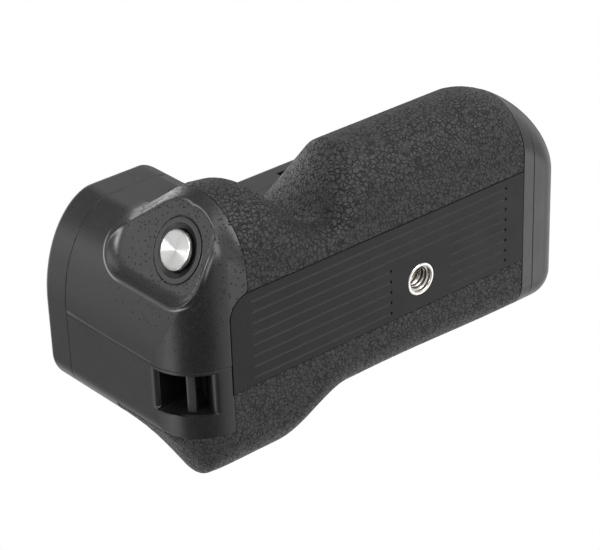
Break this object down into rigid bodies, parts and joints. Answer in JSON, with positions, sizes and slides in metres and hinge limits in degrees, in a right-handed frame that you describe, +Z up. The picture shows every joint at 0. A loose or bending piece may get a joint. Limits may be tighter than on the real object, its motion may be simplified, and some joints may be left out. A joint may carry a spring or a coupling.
{
  "type": "camera battery grip",
  "caption": "Matte black camera battery grip with textured rubber, tilted shutter release in a finger pocket, ribbed base pad, tripod socket, strap slot and sliding battery tray",
  "frame": {"origin": "Centre of the tripod socket's mouth on the base plane", "axes": "+X runs along the body from the shutter end to the battery tray's end cap, +Y points to the rear where the dial and buttons are, and +Z points up to the camera along the camera screw"},
  "size_m": [0.1284, 0.0712, 0.0623],
  "materials": {
    "body_plastic": "fine speckled matte black",
    "pad_plastic": "satin dark grey, ribbed",
    "grip_rubber": "pebbled leather grain",
    "mat_rubber": "smooth matte",
    "dark_metal": "satin black paint",
    "nickel": "nickel plated",
    "gloss_black": "semi-gloss black",
    "spun_aluminium": "spun, bright rim",
    "steel": "plain",
    "control_plastic": "satin black",
    "inner_plastic": "moulded grey",
    "gold_plate": "gold plated",
    "circuit_board": "solder mask",
    "battery_case": "smooth"
  },
  "bodies": {
    "casing": {"front_shell": "body_plastic", "rear_shell": "body_plastic", "shutter_housing": "body_plastic", "strap_housing": "body_plastic", "end_frame": "body_plastic", "top_plate": "body_plastic", "base_pad": "pad_plastic", "front_rubber": "grip_rubber", "rear_rubber": "grip_rubber", "top_mat": "mat_rubber", "strap_bar": "dark_metal", "tripod_insert": "nickel", "shutter_collar": "gloss_black", "shutter_spring": "steel", "shutter_switch": "inner_plastic", "switch_bracket": "steel", "wheel_retainer": "steel", "retainer_screws": "steel", "contact_block": "control_plastic", "guide_pins": "steel", "dial_shaft": "steel", "dial_bracket": "steel", "button_board": "circuit_board", "battery_chamber": "inner_plastic", "chamber_contacts": "gold_plate", "main_board": "circuit_board", "case_screws": "steel"},
    "release": {"shutter_button": "gloss_black", "shutter_cap": "spun_aluminium", "shutter_clip": "steel"},
    "mount": {"mount_wheel": "control_plastic", "camera_screw": "steel"},
    "dial": {"command_dial": "control_plastic"},
    "exposure": {"exposure_button": "control_plastic"},
    "focus": {"focus_button": "control_plastic"},
    "lock": {"lock_switch": "control_plastic", "lock_slider": "inner_plastic"},
    "tray": {"battery_tray": "inner_plastic", "battery_front": "battery_case", "battery_rear": "battery_case", "end_cap": "body_plastic"},
    "latch": {"latch_knob": "control_plastic", "latch_cam": "steel"},
    "contacts": {"contact_pins": "gold_plate"}
  },
  "joints": [
    {"name": "shutter_press", "type": "slide", "parent": "casing", "child": "release", "axis": [0.8846, 0.4664, 0], "range_m": [0, 0.0012], "stiffness_N_per_m": 900, "springref_m": -0.0006, "deforming": ["shutter_spring"]},
    {"name": "mount_turn", "type": "hinge", "parent": "casing", "child": "mount", "pos_m": [0.008, 0.0072, 0.0515], "axis": [0, 0, 1], "continuous": true},
    {"name": "dial_turn", "type": "hinge", "parent": "casing", "child": "dial", "pos_m": [-0.053, 0.0181, 0.039], "axis": [0, 0, 1], "continuous": true},
    {"name": "exposure_press", "type": "slide", "parent": "casing", "child": "exposure", "axis": [0, -1, 0], "range_m": [0, 0.0007], "stiffness_N_per_m": 700, "springref_m": -0.0004},
    {"name": "focus_press", "type": "slide", "parent": "casing", "child": "focus", "axis": [0, -1, 0], "range_m": [0, 0.0007], "stiffness_N_per_m": 700, "springref_m": -0.0004},
    {"name": "lock_slide", "type": "slide", "parent": "casing", "child": "lock", "axis": [1, 0, 0], "range_m": [0, 0.003]},
    {"name": "tray_slide", "type": "slide", "parent": "casing", "child": "tray", "axis": [1, 0, 0], "range_m": [0, 0.046]},
    {"name": "latch_turn", "type": "hinge", "parent": "tray", "child": "latch", "pos_m": [0.0485, 0.00415, 0.037], "axis": [1, 0, 0], "range_deg": [0, 90]},
    {"name": "pins_press", "type": "slide", "parent": "casing", "child": "contacts", "axis": [0, 0, -1], "range_m": [0, 0.0008], "stiffness_N_per_m": 600, "springref_m": -0.0005}
  ]
}
